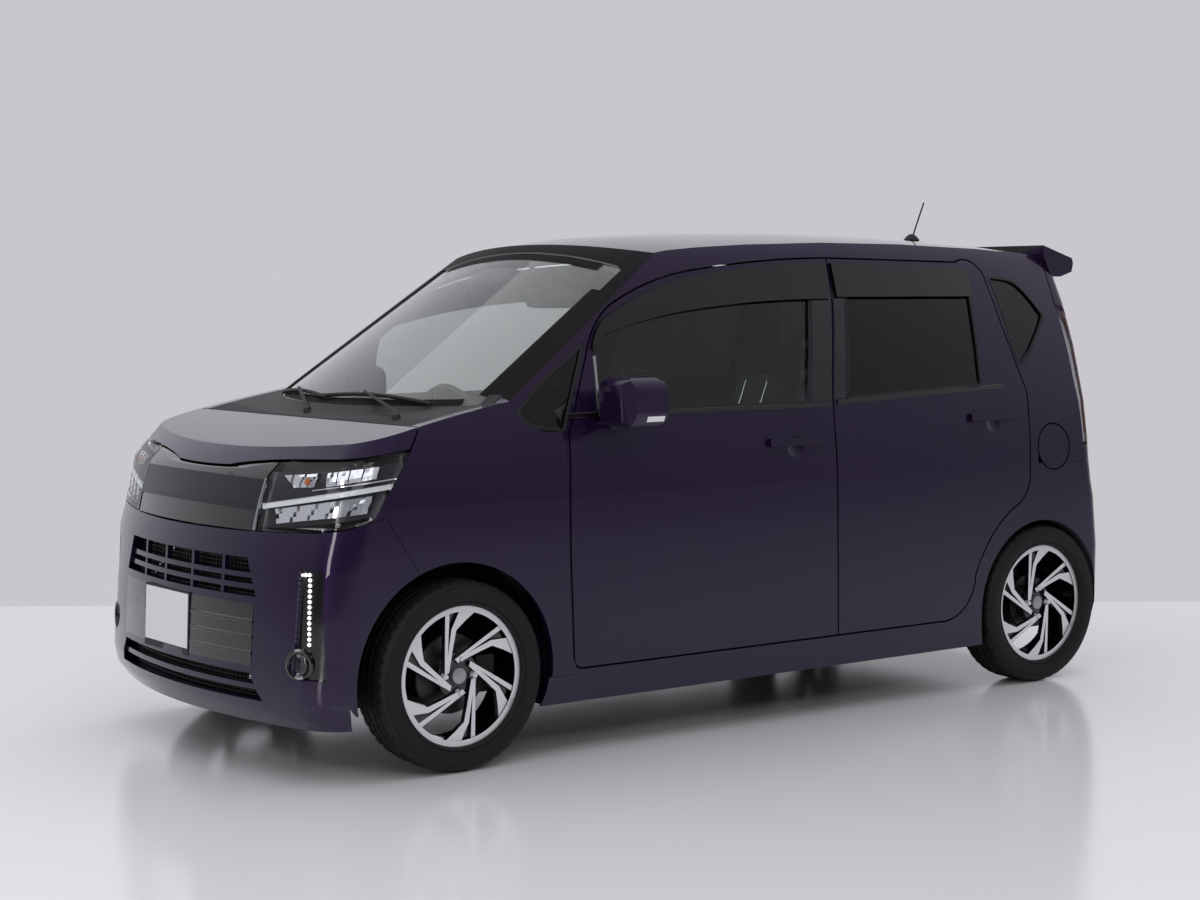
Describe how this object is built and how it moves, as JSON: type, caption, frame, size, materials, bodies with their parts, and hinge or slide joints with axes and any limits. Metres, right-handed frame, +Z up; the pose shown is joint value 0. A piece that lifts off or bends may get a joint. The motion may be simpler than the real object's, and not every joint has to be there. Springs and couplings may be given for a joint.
{
  "type": "kei car",
  "caption": "Small five-door car with hinged doors, tailgate, hood and fuel lid, steered front wheels and four free-turning wheels.",
  "frame": {"origin": "on the floor, under the middle of the car's box", "axes": "+X towards the tail, +Y towards the car's right side, +Z up"},
  "size_m": [3.3922, 1.796, 1.7321],
  "materials": {
    "paint": "gloss",
    "clear_glass": "polished",
    "dark_glass": "polished",
    "lamp_glass": "polished",
    "red_glass": "polished",
    "black_plastic": "satin",
    "smoke_plastic": "gloss",
    "sheet_steel": "satin",
    "iron": "rough",
    "fabric": "woven",
    "tyre": "matte",
    "alloy": "satin"
  },
  "bodies": {
    "body": {"body_side_left": "paint", "body_side_right": "paint", "roof_panel": "paint", "floor_pan": "sheet_steel", "front_structure": "sheet_steel", "cowl": "black_plastic", "fenders": "paint", "front_bumper": "paint", "grille": "black_plastic", "headlamps": "lamp_glass", "fog_lamps": "lamp_glass", "rear_bumper": "paint", "tail_lamps": "red_glass", "windshield": "clear_glass", "quarter_glass": "clear_glass", "engine": "iron", "front_subframe": "sheet_steel", "rear_axle": "sheet_steel", "exhaust": "sheet_steel", "fuel_tank": "sheet_steel", "dashboard": "black_plastic", "front_seats": "fabric", "rear_seat": "fabric", "antenna": "black_plastic"},
    "front_door_left": {"front_door_left": "paint", "front_glass_left": "clear_glass", "mirror_left": "paint", "front_visor_left": "smoke_plastic"},
    "rear_door_left": {"rear_door_left": "paint", "rear_glass_left": "dark_glass", "rear_visor_left": "smoke_plastic"},
    "front_door_right": {"front_door_right": "paint", "front_glass_right": "clear_glass", "mirror_right": "paint", "front_visor_right": "smoke_plastic"},
    "rear_door_right": {"rear_door_right": "paint", "rear_glass_right": "dark_glass", "rear_visor_right": "smoke_plastic"},
    "tailgate": {"tailgate": "paint", "tailgate_glass": "dark_glass"},
    "hood": {"hood": "paint"},
    "fuel_lid": {"fuel_lid": "paint"},
    "steering_wheel": {"steering_wheel": "black_plastic"},
    "knuckle_left": {"knuckle_left": "iron"},
    "knuckle_right": {"knuckle_right": "iron"},
    "wheel_front_left": {"tyre_front_left": "tyre", "rim_front_left": "alloy"},
    "wheel_front_right": {"tyre_front_right": "tyre", "rim_front_right": "alloy"},
    "wheel_rear_left": {"tyre_rear_left": "tyre", "rim_rear_left": "alloy"},
    "wheel_rear_right": {"tyre_rear_right": "tyre", "rim_rear_right": "alloy"}
  },
  "joints": [
    {"name": "front_door_left_swing", "type": "hinge", "parent": "body", "child": "front_door_left", "pos_m": [-0.6965, -0.7285, 0.7], "axis": [0, 0.0436, 0.999], "range_deg": [-65, 0]},
    {"name": "rear_door_left_swing", "type": "hinge", "parent": "body", "child": "rear_door_left", "pos_m": [0.3785, -0.7285, 0.7], "axis": [0, 0.0436, 0.999], "range_deg": [-70, 0]},
    {"name": "steer_left", "type": "hinge", "parent": "body", "child": "knuckle_left", "pos_m": [-1.1225, -0.598, 0.205], "axis": [0, 0.2267, 0.974], "range_deg": [-32, 32]},
    {"name": "wheel_front_left_spin", "type": "hinge", "parent": "knuckle_left", "child": "wheel_front_left", "pos_m": [-1.1225, -0.652, 0.281], "axis": [0, 1, 0], "continuous": true},
    {"name": "wheel_rear_left_spin", "type": "hinge", "parent": "body", "child": "wheel_rear_left", "pos_m": [1.3325, -0.652, 0.281], "axis": [0, 1, 0], "continuous": true},
    {"name": "front_door_right_swing", "type": "hinge", "parent": "body", "child": "front_door_right", "pos_m": [-0.6965, 0.7285, 0.7], "axis": [0, -0.0436, 0.999], "range_deg": [0, 65]},
    {"name": "rear_door_right_swing", "type": "hinge", "parent": "body", "child": "rear_door_right", "pos_m": [0.3785, 0.7285, 0.7], "axis": [0, -0.0436, 0.999], "range_deg": [0, 70]},
    {"name": "steer_right", "type": "hinge", "parent": "body", "child": "knuckle_right", "pos_m": [-1.1225, 0.598, 0.205], "axis": [0, -0.2267, 0.974], "range_deg": [-32, 32]},
    {"name": "wheel_front_right_spin", "type": "hinge", "parent": "knuckle_right", "child": "wheel_front_right", "pos_m": [-1.1225, 0.652, 0.281], "axis": [0, 1, 0], "continuous": true},
    {"name": "wheel_rear_right_spin", "type": "hinge", "parent": "body", "child": "wheel_rear_right", "pos_m": [1.3325, 0.652, 0.281], "axis": [0, 1, 0], "continuous": true},
    {"name": "hood_lift", "type": "hinge", "parent": "body", "child": "hood", "pos_m": [-1.15, 0, 1.06], "axis": [0, 1, 0], "range_deg": [0, 50]},
    {"name": "tailgate_lift", "type": "hinge", "parent": "body", "child": "tailgate", "pos_m": [1.531, 0, 1.566], "axis": [0, -1, 0], "range_deg": [0, 80]},
    {"name": "fuel_lid_swing", "type": "hinge", "parent": "body", "child": "fuel_lid", "pos_m": [1.317, -0.7205, 0.84], "axis": [0, 0, 1], "range_deg": [-85, 0]},
    {"name": "steering_turn", "type": "hinge", "parent": "body", "child": "steering_wheel", "pos_m": [-0.4305, 0.34, 0.905], "axis": [0.9063, 0, 0.4226], "range_deg": [-480, 480]}
  ],
  "couplings": [
    {"joint": "steer_left", "follows": "steering_turn", "ratio": 0.066667},
    {"joint": "steer_right", "follows": "steering_turn", "ratio": 0.066667}
  ]
}
